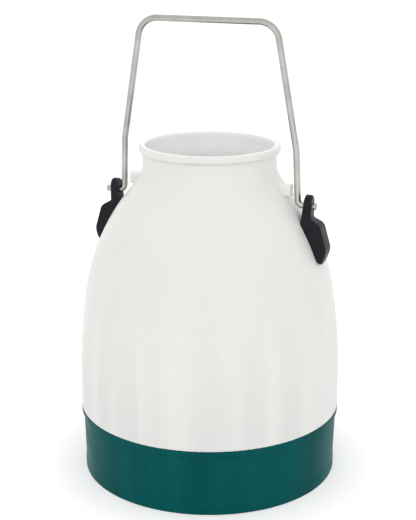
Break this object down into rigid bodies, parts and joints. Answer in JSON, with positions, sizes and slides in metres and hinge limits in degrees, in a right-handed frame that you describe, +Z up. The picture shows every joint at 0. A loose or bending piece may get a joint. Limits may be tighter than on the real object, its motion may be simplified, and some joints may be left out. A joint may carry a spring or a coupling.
{
  "type": "plastic milk pail",
  "caption": "Round-shouldered plastic milk pail with a narrow open mouth, a push-on base ring, side lugs and a swinging wire bail.",
  "frame": {"origin": "centre of the base ring's foot, on the surface the pail stands on", "axes": "+Z up through the mouth, X along the bail's pivot axis from one lug to the other, -Y the front"},
  "size_m": [0.3324, 0.3324, 0.5763],
  "materials": {
    "shell_plastic": "milky translucent polyethylene, satin",
    "ring_plastic": "satin dark green plastic",
    "lug_plastic": "black moulded plastic",
    "bail_steel": "drawn stainless wire"
  },
  "bodies": {
    "pail": {"shell": "shell_plastic", "base_ring": "ring_plastic", "lug_right": "lug_plastic", "lug_left": "lug_plastic"},
    "bail": {"bail": "bail_steel"}
  },
  "joints": [
    {"name": "bail_hinge", "type": "hinge", "parent": "pail", "child": "bail", "pos_m": [0, 0, 0.354], "axis": [1, 0, 0], "range_deg": [-101.5, 98.5]}
  ]
}
